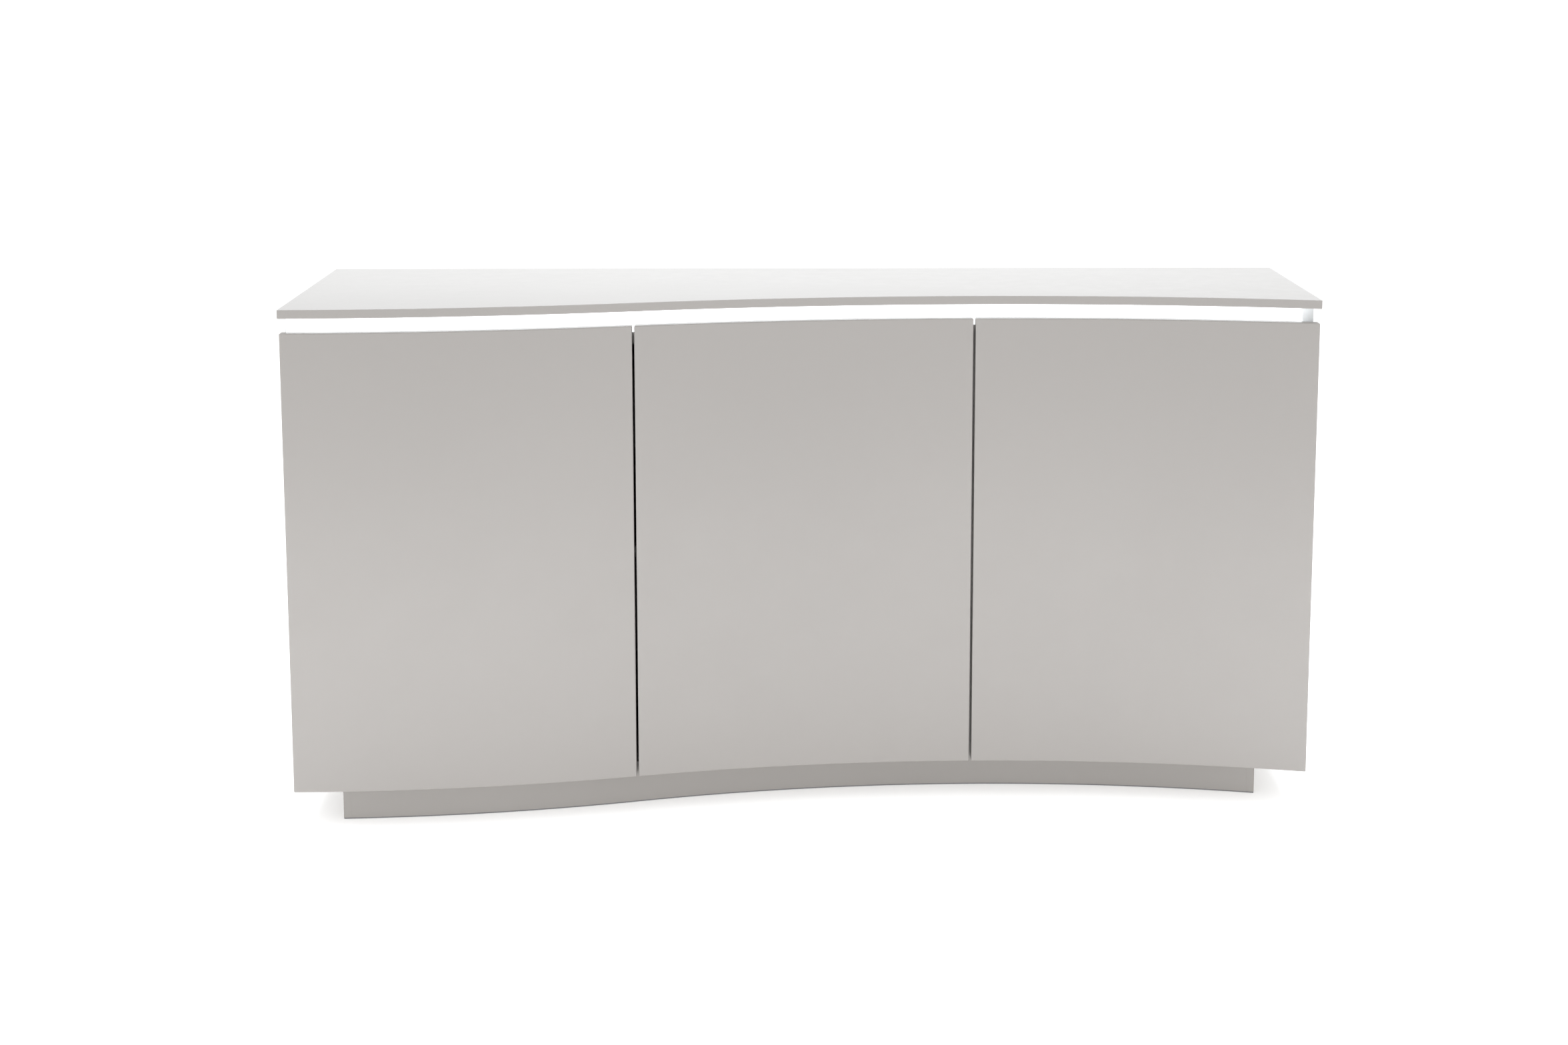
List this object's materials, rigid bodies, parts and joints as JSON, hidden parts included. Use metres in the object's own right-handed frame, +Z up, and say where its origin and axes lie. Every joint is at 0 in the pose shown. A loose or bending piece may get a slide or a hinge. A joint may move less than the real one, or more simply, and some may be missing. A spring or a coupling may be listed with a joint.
{
  "type": "tv stand with doors",
  "caption": "Low cabinet with a wave-shaped front of handle-less doors on concealed hinges, a thin top floating on a band of light, shelves and a recessed plinth.",
  "frame": {"origin": "middle of the footprint at floor level", "axes": "+X to the viewer's right along the width, -Y out of the front, +Z up"},
  "size_m": [1.6, 0.5, 0.82],
  "materials": {
    "lacquer": "matt warm-grey lacquer on board",
    "plinth_lacquer": "matt darker grey lacquer on board",
    "melamine": "satin melamine-faced board in light grey",
    "opal_diffuser": "opal acrylic, lit from behind",
    "led_board": "white circuit strip",
    "black_plastic": "moulded black plastic",
    "zinc": "zinc-plated die casting",
    "nickel_steel": "nickel-plated pressed steel",
    "grey_plastic": "moulded grey plastic",
    "soft_rubber": "translucent soft rubber",
    "beech": "fluted beech"
  },
  "bodies": {
    "case": {"top_slab": "lacquer", "slab_screws": "zinc", "light_diffuser": "opal_diffuser", "led_strip": "led_board", "led_driver": "black_plastic", "led_lead": "black_plastic", "dc_inlet": "black_plastic", "riser_front": "melamine", "riser_back": "melamine", "riser_left": "melamine", "riser_right": "melamine", "case_top": "melamine", "case_bottom": "melamine", "side_left": "lacquer", "side_right": "lacquer", "partition": "melamine", "carcass_dowels": "beech", "back_panel_left": "melamine", "back_panel_right": "melamine", "cable_grommet_left": "black_plastic", "cable_grommet_right": "black_plastic", "shelf_left": "melamine", "shelf_right": "melamine", "shelf_pins": "nickel_steel", "plinth_front": "plinth_lacquer", "plinth_back": "plinth_lacquer", "plinth_left": "plinth_lacquer", "plinth_right": "plinth_lacquer", "plinth_brace_left": "plinth_lacquer", "plinth_brace_right": "plinth_lacquer", "floor_glides": "grey_plastic", "hinge_arms_left": "nickel_steel", "hinge_arms_middle": "nickel_steel", "hinge_arms_right": "nickel_steel", "hinge_plates_left": "zinc", "hinge_plates_middle": "zinc", "hinge_plates_right": "zinc", "latch_body_left": "grey_plastic", "latch_body_middle": "grey_plastic", "latch_body_right": "grey_plastic"},
    "link_left": {"hinge_links_left": "nickel_steel"},
    "door_left": {"door_left": "lacquer", "door_bumpers_left": "soft_rubber", "hinge_cups_left": "nickel_steel"},
    "plunger_left": {"latch_plunger_left": "soft_rubber"},
    "link_middle": {"hinge_links_middle": "nickel_steel"},
    "door_middle": {"door_middle": "lacquer", "door_bumpers_middle": "soft_rubber", "hinge_cups_middle": "nickel_steel"},
    "plunger_middle": {"latch_plunger_middle": "soft_rubber"},
    "link_right": {"hinge_links_right": "nickel_steel"},
    "door_right": {"door_right": "lacquer", "door_bumpers_right": "soft_rubber", "hinge_cups_right": "nickel_steel"},
    "plunger_right": {"latch_plunger_right": "soft_rubber"}
  },
  "joints": [
    {"name": "hinge_link_left", "type": "hinge", "parent": "case", "child": "link_left", "pos_m": [-0.76245, -0.21943, 0.42175], "axis": [0, 0, -1], "range_deg": [-23.5, 0]},
    {"name": "door_swing_left", "type": "hinge", "parent": "link_left", "child": "door_left", "pos_m": [-0.78767, -0.23751, 0.42175], "axis": [0, 0, -1], "range_deg": [0, 115]},
    {"name": "latch_push_left", "type": "slide", "parent": "case", "child": "plunger_left", "axis": [0.239, -0.971, 0], "range_m": [0, 0.015]},
    {"name": "hinge_link_middle", "type": "hinge", "parent": "case", "child": "link_middle", "pos_m": [0.2284, -0.07403, 0.42175], "axis": [0, 0, 1], "range_deg": [-23.5, 0]},
    {"name": "door_swing_middle", "type": "hinge", "parent": "link_middle", "child": "door_middle", "pos_m": [0.25416, -0.09134, 0.42175], "axis": [0, 0, 1], "range_deg": [0, 115]},
    {"name": "latch_push_middle", "type": "slide", "parent": "case", "child": "plunger_middle", "axis": [0.2349, -0.972, 0], "range_m": [0, 0.015]},
    {"name": "hinge_link_right", "type": "hinge", "parent": "case", "child": "link_right", "pos_m": [0.76949, -0.12306, 0.42175], "axis": [0, 0, 1], "range_deg": [-23.5, 0]},
    {"name": "door_swing_right", "type": "hinge", "parent": "link_right", "child": "door_right", "pos_m": [0.79033, -0.14607, 0.42175], "axis": [0, 0, 1], "range_deg": [0, 115]},
    {"name": "latch_push_right", "type": "slide", "parent": "case", "child": "plunger_right", "axis": [-0.0045, -1, 0], "range_m": [0, 0.015]}
  ],
  "couplings": [
    {"joint": "hinge_link_left", "follows": "door_swing_left", "ratio": -0.2},
    {"joint": "latch_push_left", "follows": "door_swing_left", "m_per_rad": 0.0074},
    {"joint": "hinge_link_middle", "follows": "door_swing_middle", "ratio": -0.2},
    {"joint": "latch_push_middle", "follows": "door_swing_middle", "m_per_rad": 0.0074},
    {"joint": "hinge_link_right", "follows": "door_swing_right", "ratio": -0.2},
    {"joint": "latch_push_right", "follows": "door_swing_right", "m_per_rad": 0.0074}
  ]
}
